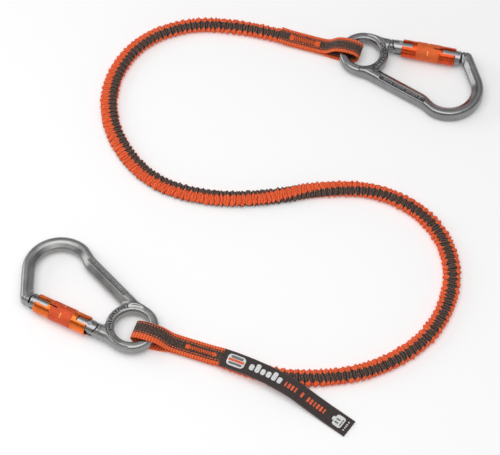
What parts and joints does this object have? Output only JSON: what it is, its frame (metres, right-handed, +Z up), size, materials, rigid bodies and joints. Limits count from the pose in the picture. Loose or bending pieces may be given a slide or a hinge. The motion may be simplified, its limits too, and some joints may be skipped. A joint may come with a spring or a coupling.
{
  "type": "shock absorbing tool lanyard",
  "caption": "Elastic webbing tool lanyard with a sewn-in, spring-gated, twist-locking carabiner at each end and a folded woven label.",
  "frame": {"origin": "on the surface the lanyard lies on, under the middle of everything but its elastic cord", "axes": "+Z up from that surface; +X points from end A towards end B's carabiner, +Y points from end A's side to end B's side"},
  "size_m": [0.3268, 0.3449, 0.0137],
  "materials": {
    "carabiner_alloy": "tumbled, satin-bright",
    "gate_alloy": "turned, satin",
    "sleeve_anodised": "orange anodised, gloss ends and a knurled grip",
    "pin_steel": "ground",
    "spring_steel": "drawn wire",
    "webbing": "woven polyester, orange with a dark brown stripe",
    "elastic": "natural latex strands",
    "thread": "bonded orange thread",
    "label_cloth": "black woven tape with light marks"
  },
  "bodies": {
    "lanyard": {"cord_jacket": "webbing", "elastic_core": "elastic", "sewn_end_a": "webbing", "sewn_end_b": "webbing", "stitching_a": "thread", "stitching_b": "thread", "label": "label_cloth"},
    "loop_a": {"eye_loop_a": "webbing"},
    "carabiner_a": {"carabiner_body_a": "carabiner_alloy"},
    "gate_a": {"gate_a": "gate_alloy", "hinge_pin_a": "pin_steel", "gate_spring_a": "spring_steel", "sleeve_spring_a": "spring_steel", "guide_pin_a": "pin_steel"},
    "plunger_a": {"gate_plunger_a": "pin_steel"},
    "sleeve_a": {"locking_sleeve_a": "sleeve_anodised"},
    "loop_b": {"eye_loop_b": "webbing"},
    "carabiner_b": {"carabiner_body_b": "carabiner_alloy"},
    "gate_b": {"gate_b": "gate_alloy", "hinge_pin_b": "pin_steel", "gate_spring_b": "spring_steel", "sleeve_spring_b": "spring_steel", "guide_pin_b": "pin_steel"},
    "plunger_b": {"gate_plunger_b": "pin_steel"},
    "sleeve_b": {"locking_sleeve_b": "sleeve_anodised"}
  },
  "joints": [
    {"name": "strap_bend_a", "type": "hinge", "parent": "lanyard", "child": "loop_a", "pos_m": [-0.05473, -0.10051, 0.00335], "axis": [0.3256, 0.9455, 0], "range_deg": [0, 60]},
    {"name": "eye_swivel_a", "type": "hinge", "parent": "loop_a", "child": "carabiner_a", "pos_m": [-0.0864, -0.0896, 0.00642], "axis": [0.0159, 0.0311, 0.9994], "range_deg": [-35, 35]},
    {"name": "gate_open_a", "type": "hinge", "parent": "carabiner_a", "child": "gate_a", "pos_m": [-0.11465, -0.08884, 0.00685], "axis": [-0.0159, -0.0311, -0.9994], "range_deg": [0, 28], "stiffness_Nm_per_rad": 0.2, "springref_deg": -28.65},
    {"name": "sleeve_twist_a", "type": "hinge", "parent": "gate_a", "child": "sleeve_a", "pos_m": [-0.1329, -0.0795, 0.00685], "axis": [0.8902, -0.4555, 0], "range_deg": [0, 90], "stiffness_Nm_per_rad": 0.015, "springref_deg": -57.3},
    {"name": "plunger_slide_a", "type": "slide", "parent": "gate_a", "child": "plunger_a", "axis": [-0.8902, 0.4555, 0], "range_m": [0, 0.0005], "deforming": ["gate_spring_a"]},
    {"name": "strap_bend_b", "type": "hinge", "parent": "lanyard", "child": "loop_b", "pos_m": [0.04508, 0.15176, 0.00335], "axis": [-0.3123, -0.95, 0], "range_deg": [0, 60]},
    {"name": "eye_swivel_b", "type": "hinge", "parent": "loop_b", "child": "carabiner_b", "pos_m": [0.0769, 0.1413, 0.00642], "axis": [-0.0079, -0.034, 0.9994], "range_deg": [-35, 35]},
    {"name": "gate_open_b", "type": "hinge", "parent": "carabiner_b", "child": "gate_b", "pos_m": [0.10449, 0.14744, 0.00685], "axis": [0.0079, 0.034, -0.9994], "range_deg": [0, 28], "stiffness_Nm_per_rad": 0.2, "springref_deg": -28.65},
    {"name": "sleeve_twist_b", "type": "hinge", "parent": "gate_b", "child": "sleeve_b", "pos_m": [0.12446, 0.14283, 0.00685], "axis": [-0.9744, 0.225, 0], "range_deg": [0, 90], "stiffness_Nm_per_rad": 0.015, "springref_deg": -57.3},
    {"name": "plunger_slide_b", "type": "slide", "parent": "gate_b", "child": "plunger_b", "axis": [0.9744, -0.225, 0], "range_m": [0, 0.0005], "deforming": ["gate_spring_b"]}
  ],
  "couplings": [
    {"joint": "plunger_slide_a", "follows": "gate_open_a", "m_per_rad": 0.001},
    {"joint": "plunger_slide_b", "follows": "gate_open_b", "m_per_rad": 0.001}
  ]
}
